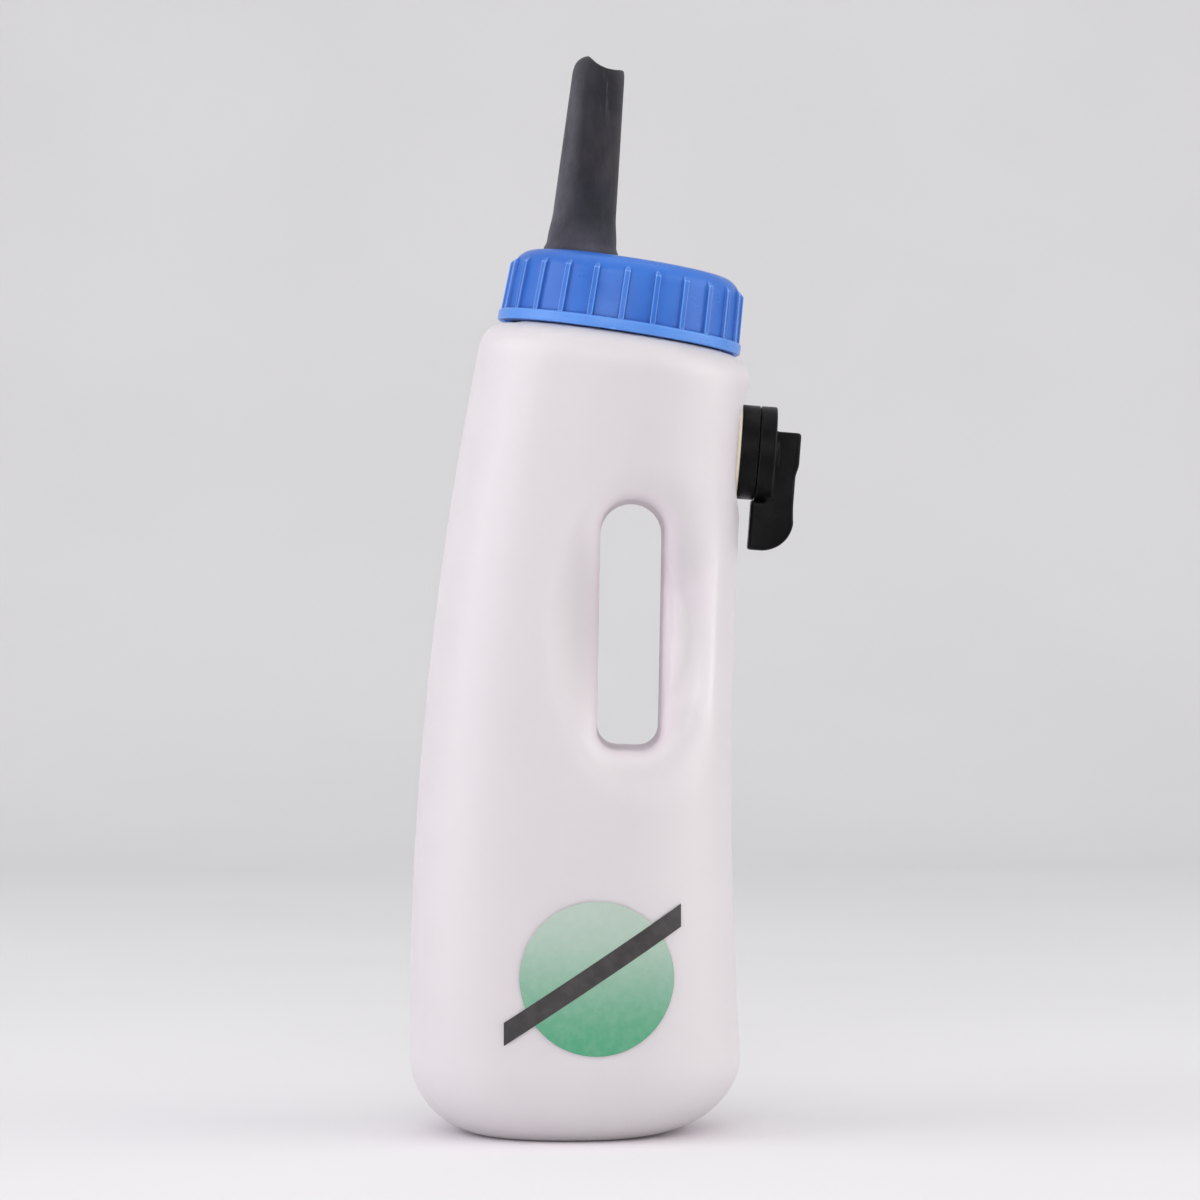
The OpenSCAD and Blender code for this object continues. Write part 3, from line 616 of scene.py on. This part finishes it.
def build_bottle(material):
    step, inner_step, margin = 1.5, 2.8, 4
    low = np.array([BASE_FRONT, -BODY_D / 2, 0]) - margin
    high = np.array([REACH_BACK, BODY_D / 2, REACH_UP]) + margin
    outside = net(bottle_field, low, high, step)
    inside = net(lambda p: bottle_field(p, WALL), low, high, inner_step)
    middle_r = (NECK_R + NECK_BORE) / 2

    def not_mouth(under):
        def keep(p):
            n = NECK.into(p)
            return (np.hypot(n[:, 0], n[:, 1]) > middle_r) | (n[:, 2] < under)

        return keep

    outside = kept(*outside, not_mouth(SHOULDER_TOP - 1.5))
    inside_points, inside_quads = kept(*inside, not_mouth(SHOULDER_TOP - WALL - 1.5))
    root_r = NECK_R + 1.2
    neck = lathe(
        rounded(
            [
                [NECK_BORE, -6], [NECK_R, -6], [NECK_R, -1.0], [root_r, -1.0],
                [root_r, -0.4], [NECK_R, 0.9], [NECK_R, NECK_RISE], [NECK_BORE, NECK_RISE],
            ],
            [0, 0, 0, 0.2, 0.4, 0.8, 0.9, 0.9],
        ),
        160,
    )
    neck_part = joined(neck, thread_ridge(0), thread_ridge(180))
    neck_part = (NECK.out(neck_part[0]), neck_part[1])
    parts = joined(outside, (inside_points, inside_quads[:, ::-1]), neck_part)
    return place("bottle_shell", parts, ROW, "bottle", material, 0, ["bottle"])


# --- Printed panel --------------------------------------------------------------------
PANEL_X, PANEL_Z, PANEL_R = 12.3, 63.5, 29.2
BAND = dict(x0=-22.9, x1=44.2, z0=42.4, z1=87.0, half=4.4)


def print_on(x, z, proud):
    """Points on the bottle's front flat side, at the given x and z, a hair proud of it."""
    x, z = np.broadcast_arrays(x, z)
    y = np.full(x.shape, -BODY_D / 2.0)
    h = 0.05
    for _ in range(12):
        p = np.stack([x, y, z], -1)
        up = np.stack([x, y + h, z], -1)
        y = y - bottle_field(p, -proud) / ((bottle_field(up) - bottle_field(p)) / h)
    return np.stack([x, y, z], -1)


def build_panel(disc_ink, band_ink):
    rings, columns, proud = 24, 144, 0.10
    r = PANEL_R * np.linspace(0, 1, rings)[1:, None] ** 0.8
    a = np.linspace(0, 2 * math.pi, columns, endpoint=False)
    x, z = PANEL_X + r * np.cos(a), PANEL_Z + r * np.sin(a)
    top = print_on(x, z, proud).reshape(-1, 3)
    middle = print_on(np.array([PANEL_X]), np.array([PANEL_Z]), proud)
    faces = grid_faces(rings - 1, columns)
    centre = len(top)
    faces += [[i, (i + 1) % columns, centre] for i in range(columns)]
    edge = print_on(x[-1:], z[-1:], -0.3).reshape(-1, 3)
    points = np.concatenate([top, middle, edge])
    last = (rings - 2) * columns
    faces = [f[::-1] for f in faces]
    faces += [
        [centre + 1 + (i + 1) % columns, centre + 1 + i, last + i, last + (i + 1) % columns]
        for i in range(columns)
    ]
    place("printed_disc", (points, faces), ROW, "bottle", disc_ink, 40)

    across, up, proud = 80, 13, 0.16
    s = np.linspace(0, 1, across)[None, :]
    t = np.linspace(-1, 1, up)[:, None]
    x = mix(BAND["x0"], BAND["x1"], s) + 0 * t
    z = mix(BAND["z0"], BAND["z1"], s) + BAND["half"] * t
    points = print_on(x, z, proud).reshape(-1, 3)
    place("printed_band", (points, grid_faces(up, across, around=False)), ROW, "bottle",
          band_ink, 0)


# --- Cap ------------------------------------------------------------------------------
CAP = dict(
    bore=42.1, r=45.8, h=28.74, plate=2.6, collar_h=4.3, collar_out=1.9, top_round=8.0, draft=math.radians(3),
    ribs=24, rib_w=2.6, rib_out=1.4,
)
CAP_TOP_R = CAP["r"] - CAP["h"] * math.tan(CAP["draft"]) + 0.35
CAP_EDGE_Z = CAP["h"] - CAP["top_round"]
RIB_TOP = CAP_EDGE_Z + 4.2
RIB_END = 2.2
TEAT_OFF, TEAT_HOLE_R = 19.4, 12.45


def skirt_r(z):
    """Radius of the cap's skirt at height z, with the rounding of its top edge."""
    r = mix(CAP["r"], CAP_TOP_R, z / CAP_EDGE_Z)
    over = np.clip((z - CAP_EDGE_Z) / CAP["top_round"], 0, 1)
    return np.where(over > 0, CAP_TOP_R - CAP["top_round"] * (1 - np.sqrt(1 - over**2)), r)


def rib_r(z):
    """Radius of a grip rib's crest at height z: straight, with a slanted end."""
    crest = mix(CAP["r"], CAP_TOP_R, z / CAP_EDGE_Z) + CAP["rib_out"]
    return np.minimum(crest, CAP_TOP_R - 0.9 + RIB_TOP - z)


def ribbed_r(a, z):
    """Radius of the skirt at an angle and height, with its ribs: steep flanks and rounded ends."""
    pitch = 2 * math.pi / CAP["ribs"]
    s = np.abs((a + pitch / 2) % pitch - pitch / 2) * CAP["r"]
    half = CAP["rib_w"] / 2
    over = np.maximum(z - (RIB_TOP - RIB_END), 0) * half / RIB_END
    stand = smooth((half - np.hypot(s, over)) / 0.5 + 0.2)
    base = skirt_r(z)
    return base + np.maximum(rib_r(z) - base, 0) * stand


def build_cap(material):
    pitch = 2 * math.pi / CAP["ribs"]
    # Distances of the columns of points from a rib's middle, closest at its flanks.
    half = np.array([0.45, 0.75, 0.92, 1.06, 1.2, 1.32, 1.44, 1.8, 2.6, 3.6, 4.7]) / CAP["r"]
    local = np.concatenate([-half[::-1], [0], half])
    a = np.concatenate([local + k * pitch for k in range(CAP["ribs"])])
    rows = []

    def row(r, z, off=0.0):
        r = np.broadcast_to(r, a.shape)
        rows.append(np.stack([r * np.cos(a) - off, r * np.sin(a), np.full(a.shape, float(z))], -1))

    collar_r = CAP["r"] + CAP["collar_out"]
    row(CAP["bore"], 0.3)
    row(CAP["bore"] + 0.3, 0.0)
    row(collar_r - 0.7, 0.0)
    for t in np.linspace(0.15, 1, 5):
        row(collar_r - 0.7 + 0.7 * math.sin(t * math.pi / 2), 0.7 - 0.7 * math.cos(t * math.pi / 2))
    for t in np.linspace(0, 1, 6):
        angle = t * math.pi / 2
        row(collar_r - 0.9 + 0.9 * math.cos(angle), CAP["collar_h"] - 0.9 + 0.9 * math.sin(angle))
    foot = CAP["collar_h"]
    low_rows = np.concatenate([[0.0, 0.15, 0.5], np.linspace(1.2, CAP_EDGE_Z - foot - 3, 10)])
    for dz in low_rows:
        fillet = 0.5 * float(1 - smooth(dz / 0.5))
        row(np.maximum(skirt_r(foot + dz) + fillet, ribbed_r(a, foot + dz)), foot + dz)
    for z in np.linspace(CAP_EDGE_Z - 2.0, CAP_EDGE_Z + 4.5, 22):
        row(ribbed_r(a, z), z)
    for t in np.linspace(0.40, 1, 11):
        angle = t * math.pi / 2
        z = CAP_EDGE_Z + CAP["top_round"] * math.sin(angle)
        row(CAP_TOP_R - CAP["top_round"] * (1 - math.cos(angle)), z)
    flat_r = CAP_TOP_R - CAP["top_round"]
    hole = TEAT_HOLE_R + 0.35
    for t in np.linspace(0.12, 1, 9):
        row(mix(flat_r, hole, t), CAP["h"], TEAT_OFF * t)
    row(TEAT_HOLE_R, CAP["h"] - 0.35, TEAT_OFF)
    under = CAP["h"] - CAP["plate"]
    row(TEAT_HOLE_R, under, TEAT_OFF)
    inner = NECK_R + 0.4
    for t in np.linspace(0.85, 0.0, 7):
        row(mix(inner - 0.6, TEAT_HOLE_R, t), under, TEAT_OFF * t)
    row(inner, under - 0.6)
    step_z = THREAD_FOOT + THREAD_LEAD + 2
    row(inner, step_z)
    row(CAP["bore"], step_z)
    for z in np.linspace(step_z - 1, 1.5, 8):
        row(CAP["bore"], z)
    shell = (np.concatenate(rows), grid_faces(len(rows), len(a), over=True))

    lugs = [lug(0), lug(math.pi)]
    threads = [inner_ridge(0), inner_ridge(180)]
    parts = joined(shell, *lugs, *threads)
    return place("ribbed_cap", parts, NECK, "cap", material, 42, ["screw_cap"])


def lug(angle):
    """A small stop lug under the collar, with softened edges."""
    r0, r1, half, drop = CAP["bore"] + 0.1, CAP["r"] - 0.4, 2.5, 1.1
    points = []
    outline = rounded([[r0, -half], [r1, -half], [r1, half], [r0, half]], 0.5, 3)
    levels = [(-drop, -0.25), (-drop + 0.25, 0.0), (0.4, 0.0)]
    centre = np.array([(r0 + r1) / 2, 0.0])
    for z, grow in levels:
        for q in outline:
            q = np.array(q)
            q = q + grow * (q - centre) / np.linalg.norm(q - centre)
            x = q[0] * math.cos(angle) - q[1] * math.sin(angle)
            y = q[0] * math.sin(angle) + q[1] * math.cos(angle)
            points.append([x, y, z])
    m = len(outline)
    faces = grid_faces(len(levels), m)
    faces.append(list(range(m))[::-1])
    faces.append([(len(levels) - 1) * m + i for i in range(m)])
    return points, faces


def inner_ridge(start, steps=96, turn=360.0, run_in=18.0):
    """One start of the cap's thread, standing in from its bore."""
    points = []
    drop = 2.5
    for k in range(steps + 1):
        a = turn * k / steps
        ramp = float(smooth(min(a, turn - a) / run_in))
        c = THREAD_FOOT - drop + THREAD_LEAD * a / 360
        t = math.radians(a + start)
        for u in np.linspace(-1, 1, 7):
            r = CAP["bore"] + 0.4 - (THREAD_OUT + 0.35) * ramp * (1 - abs(u) ** 3)
            points.append([r * math.cos(t), r * math.sin(t), c + u * 1.4])
    return points, grid_faces(steps + 1, 7, around=False)


# --- Teat -----------------------------------------------------------------------------
TEAT_LEN, TEAT_FOOT_R, TEAT_TIP_R, TEAT_ROUND = 78.6, 13.7, 10.1, 3.9
TEAT_WAIST_H, TEAT_FLARE_H, TEAT_TIP_H = 18.0, 5.0, 5.0
BEAD_AT, BEAD_HALF, BEAD_R, BEAD_BLEND = 1.2, 0.9, 0.6, 3.0
TEAT_WAIST_R = mix(TEAT_FOOT_R, TEAT_TIP_R, 0.4)
TEAT_LEAN = math.radians(2.8)
SCOOP_R, SCOOP_AT = 11.0, (5.0, -5.2)
MILK_HOLE_R, MILK_HOLE_LEN = 1.6, 14.0
TEAT_BORE_R, LIP_R, LIP_T = 8.6, 17.0, 2.4
STEM_HOLE_R = TEAT_HOLE_R - 0.15


def teat_field(p):
    """The teat above the cap: a flared, tapering stem with a scooped, rounded tip."""
    r, z = np.hypot(p[..., 0], p[..., 1]), p[..., 2]
    flare = 1 - smooth((z - TEAT_FLARE_H) / (TEAT_WAIST_H - TEAT_FLARE_H))
    taper = np.clip((z - TEAT_WAIST_H) / (TEAT_LEN - TEAT_TIP_H - TEAT_WAIST_H), 0, 1)
    side = mix(TEAT_WAIST_R, TEAT_TIP_R, taper)
    side = side + (TEAT_FOOT_R - TEAT_WAIST_R) * flare * 0.9
    d = smooth_max(r - side, z - TEAT_LEN, 2 * TEAT_ROUND)
    beyond, above = r - TEAT_FOOT_R + 0.2, np.abs(z - BEAD_AT) - BEAD_HALF
    bead = np.hypot(np.maximum(beyond, 0), np.maximum(above, 0)) - BEAD_R
    d = smooth_min(d, bead, BEAD_BLEND)
    d = np.maximum(d, -z - 0.4)
    scoop = np.hypot(p[..., 0] - SCOOP_AT[0], z - TEAT_LEN - SCOOP_AT[1] - SCOOP_R) - SCOOP_R
    d = smooth_max(d, -scoop, 0.7)
    hole = smooth_max(r - MILK_HOLE_R, -(z - TEAT_LEN + MILK_HOLE_LEN), 0.5)
    return smooth_max(d, -hole, 0.7)


def build_teat(material):
    lean = Place(
        NECK.out([-TEAT_OFF, 0, CAP["h"]]),
        math.cos(TEAT_LEAN) * NECK_ACROSS + math.sin(TEAT_LEAN) * NECK_AXIS,
        SIDE,
        -math.sin(TEAT_LEAN) * NECK_ACROSS + math.cos(TEAT_LEAN) * NECK_AXIS,
    )
    reach = TEAT_FOOT_R + 3
    stem = net(teat_field, [-reach, -reach, -2], [reach, reach, TEAT_LEN + 2], 0.9)
    stem = (NECK.into(lean.out(stem[0])), stem[1])
    under = CAP["h"] - CAP["plate"]
    lip = lathe(
        rounded(
            [
                [TEAT_BORE_R, under - LIP_T], [LIP_R, under - LIP_T], [LIP_R, under],
                [STEM_HOLE_R, under], [STEM_HOLE_R, CAP["h"]], [TEAT_BORE_R, CAP["h"]],
            ],
            [0.4, 0.7, 0.7, 0.2, 0, 0],
            3,
        ),
        96,
    )
    lip = (lip[0] + np.array([-TEAT_OFF, 0, 0]), lip[1])
    return place("rubber_teat", joined(stem, lip), NECK, "cap", material, 60, ["teat"])


# --- Air valve ------------------------------------------------------------------------
FLANGE_R, FLANGE_FOOT, FLANGE_FACE = 18.4, 2.02, 8.82
DIAL_FOOT, DIAL_FACE = 9.12, 15.52
STEM_R, STEM_BORE, STEM_LEN, WEB_FOOT, PIVOT_R = 10.5, 8.2, 18.0, -2.0, 2.65
LEVER_TOP, LEVER_LEN, LEVER_W, LEVER_OUT = 8.8, 37.8, 13.0, 16.6
LEVER_CORNER, LEVER_WAIST = 12.0, 1.1
HUB_R, HUB_OUT = 8.3, 1.3


def build_valve_body(material):
    """The flange and the stem behind it, with the pivot's hole through its web."""
    outline = rounded(
        [
            [PIVOT_R, WEB_FOOT], [STEM_BORE, WEB_FOOT], [STEM_BORE, -STEM_LEN], [STEM_R, -STEM_LEN],
            [STEM_R, FLANGE_FOOT], [FLANGE_R, FLANGE_FOOT], [FLANGE_R, FLANGE_FACE], [17.0, FLANGE_FACE],
            [16.6, FLANGE_FACE - 0.9], [PIVOT_R, FLANGE_FACE - 0.9],
        ],
        [0.2, 0.8, 0.4, 0.4, 0.2, 0.45, 0.3, 0.2, 0.3, 0.2],
    )
    place("valve_body_moulding", lathe(outline, 160), VALVE, "bottle", material, 40,
          ["valve_body"])


def build_gasket(material):
    """The outer gasket: a flat ring, squeezed so that its edge bulges."""
    half = FLANGE_FOOT / 2 - 0.03
    middle, bulge = FLANGE_FOOT / 2 - 0.01, 0.75
    edge = [
        [FLANGE_R - bulge + bulge * math.cos(t), middle + half * math.sin(t)]
        for t in np.linspace(-1.45, 1.45, 11)
    ]
    low, high, hole = middle - half, middle + half, STEM_R + 0.2
    outline = [[hole, low], [14, low], *edge, [14, high], [hole, high]]
    place("outer_gasket", lathe(outline, 160), VALVE, "bottle", material, 40,
          ["valve_gasket"])


def lever_field(p):
    """The dial, its hub and the finger lever, as one moulding with small fillets."""
    x, y, z = p[..., 0], p[..., 1], p[..., 2]
    r = np.hypot(x, y)
    thickness = np.abs(z - (DIAL_FOOT + DIAL_FACE) / 2) - (DIAL_FACE - DIAL_FOOT) / 2
    dial = smooth_max(r - FLANGE_R, thickness, 0.8)
    hub = smooth_max(r - HUB_R, z - DIAL_FACE - HUB_OUT, 1.2)
    hub = smooth_max(hub, DIAL_FOOT + 1 - z, 0.4)
    face = FLANGE_FACE + LEVER_OUT
    waist = LEVER_WAIST * smooth((x - LEVER_LEN * 0.08) / 6) * (1 - 0.5 * smooth((x - LEVER_LEN * 0.5) / 10))
    back = np.maximum(FLANGE_FACE - 1 - z, np.minimum(DIAL_FACE - 2.5 - z, FLANGE_R + 0.3 - x))
    low = x - LEVER_LEN
    out = z - face + waist
    corner_x, corner_z = x - (LEVER_LEN - LEVER_CORNER), z - (face - LEVER_WAIST / 2 - LEVER_CORNER)
    corner = np.where(
        (corner_x > 0) & (corner_z > 0), np.hypot(corner_x, corner_z) - LEVER_CORNER, np.maximum(low, out)
    )
    side = smooth_max(corner, -x - LEVER_TOP, 1.6)
    side = smooth_max(side, back, 1.2)
    grip = np.abs(y) - (LEVER_W / 2 - 0.5 * smooth((z - DIAL_FACE) / 8))
    lever = smooth_max(side, grip, 1.8)
    return smooth_min(smooth_min(dial, hub, 0.8), lever, 1.4)


def build_dial(material):
    low = [-FLANGE_R - 2, -FLANGE_R - 2, FLANGE_FACE - 3]
    high = [LEVER_LEN + 2, FLANGE_R + 2, FLANGE_FACE + LEVER_OUT + 2]
    lever = net(lever_field, low, high, 0.55)
    place("dial_lever", lever, VALVE, "dial", material, 45, ["speed_dial"])


# --- Stage ----------------------------------------------------------------------------
def build_stage():
    """A pale floor that bends up into a wall. Its lengths are in metres, as the lights' are."""
    n = Nodes("studio_floor")
    n.colour(n.blend(n.range(n.noise(3, 3), 0.3, 0.7), (0.72, 0.72, 0.73), (0.74, 0.74, 0.75)))
    n.set(Roughness=0.75)
    reach, flat_end, bend, wall_top = 9.0, 1.6, 1.2, 5.0
    profile = [[-reach, 0.0], [flat_end, 0.0]]
    for t in np.linspace(0, math.pi / 2, 25)[1:]:
        profile.append([flat_end + bend * math.sin(t), bend * (1 - math.cos(t))])
    profile.append([flat_end + bend, wall_top])
    points = [[x, y, z] for x in (-reach, reach) for y, z in profile]
    m = len(profile)
    faces = [[i, m + i, m + i + 1, i + 1] for i in range(m - 1)]
    mesh = bpy.data.meshes.new("studio_floor")
    mesh.from_pydata(points, [], faces)
    mesh.shade_smooth()
    floor = bpy.data.objects.new("studio_floor", mesh)
    bpy.context.scene.collection.objects.link(floor)
    mesh.materials.append(n.material)


def area_light(name, at, aim, size, watts, colour=(1, 1, 1)):
    light = bpy.data.lights.new(name, "AREA")
    light.shape = "RECTANGLE"
    light.size, light.size_y = size
    light.energy = watts
    light.color = colour
    lamp = bpy.data.objects.new(name, light)
    bpy.context.scene.collection.objects.link(lamp)
    lamp.location = at
    lamp.rotation_euler = (Vector(aim) - Vector(at)).to_track_quat("-Z", "Y").to_euler()


def build_light_and_camera():
    scene = bpy.context.scene
    world = bpy.data.worlds.new("studio")
    world.use_nodes = True
    world.node_tree.nodes["Background"].inputs["Color"].default_value = (1.0, 0.985, 1.0, 1)
    world.node_tree.nodes["Background"].inputs["Strength"].default_value = 0.76
    scene.world = world
    middle = (0.01, 0, 0.2)
    area_light("left", (-1.7, -0.5, 0.7), middle, (1.6, 2.0), 18, (0.97, 0.955, 1.0))
    area_light("right", (1.7, -0.4, 0.6), middle, (1.6, 2.0), 16, (1.0, 0.975, 0.945))
    area_light("front", (-0.3, -2.6, 1.1), middle, (1.8, 1.4), 17)
    area_light("top", (0.0, -0.1, 1.7), middle, (1.6, 1.4), 4)
    camera = bpy.data.cameras.new("camera")
    camera.sensor_width = 36.0
    camera.lens = 123.08
    camera.clip_start = 0.05
    lens = bpy.data.objects.new("camera", camera)
    lens.location = (0.013455, -1.6, 0.2065)
    lens.rotation_euler = (math.pi / 2, 0, 0)
    scene.collection.objects.link(lens)
    scene.camera = lens
    scene.view_settings.view_transform = "Standard"


# --- Build ----------------------------------------------------------------------------
def green_fade(n):
    """Pale at the top of the disc, deeper green at its foot."""
    height = n.range(n.axis("Z"), (PANEL_Z - PANEL_R) * MM, (PANEL_Z + PANEL_R) * MM)
    fade = n.blend(height, (0.054, 0.292, 0.156), (0.385, 0.48, 0.416))
    return n.blend(n.range(n.noise(300, 3), 0.35, 0.7, 0.0, 0.05), fade, (0.75, 0.78, 0.76))


def near_black(n):
    return n.blend(n.range(n.noise(200, 4), 0.35, 0.7), (0.022, 0.018, 0.020), (0.040, 0.034, 0.036))


def finish_cad_nodes(materials):
    """Gives each CAD node whose material slot is in the table the procedural material for that slot."""
    for body in frame["record"]["subparts"]:
        node = frame["nodes"][body["node"]]
        material = materials.get(body["material_slot"])
        if material is not None:
            node.data.materials.clear()
            node.data.materials.append(material)


def main():
    materials = {
        "bottle_plastic": bottle_plastic(),
        "cap_plastic": cap_plastic(),
        "teat_rubber": teat_rubber(),
        "valve_plastic": valve_plastic(),
        "dial_plastic": valve_plastic("dial_plastic"),
        "gasket_cream": soft_rubber("gasket_cream", (0.62, 0.56, 0.43), (0.72, 0.66, 0.53)),
        "seal_rubber": soft_rubber("seal_rubber", (0.60, 0.60, 0.60), (0.72, 0.72, 0.71)),
        "black_rubber": soft_rubber("black_rubber", (0.016, 0.016, 0.017), (0.034, 0.034, 0.036)),
        "steel": steel(),
    }
    finish_cad_nodes(materials)
    build_bottle(materials["bottle_plastic"])
    build_panel(print_ink("green_ink", green_fade), print_ink("black_ink", near_black))
    build_cap(materials["cap_plastic"])
    build_teat(materials["teat_rubber"])
    build_gasket(materials["gasket_cream"])
    build_valve_body(materials["valve_plastic"])
    build_dial(materials["dial_plastic"])
    build_stage()
    build_light_and_camera()


main()
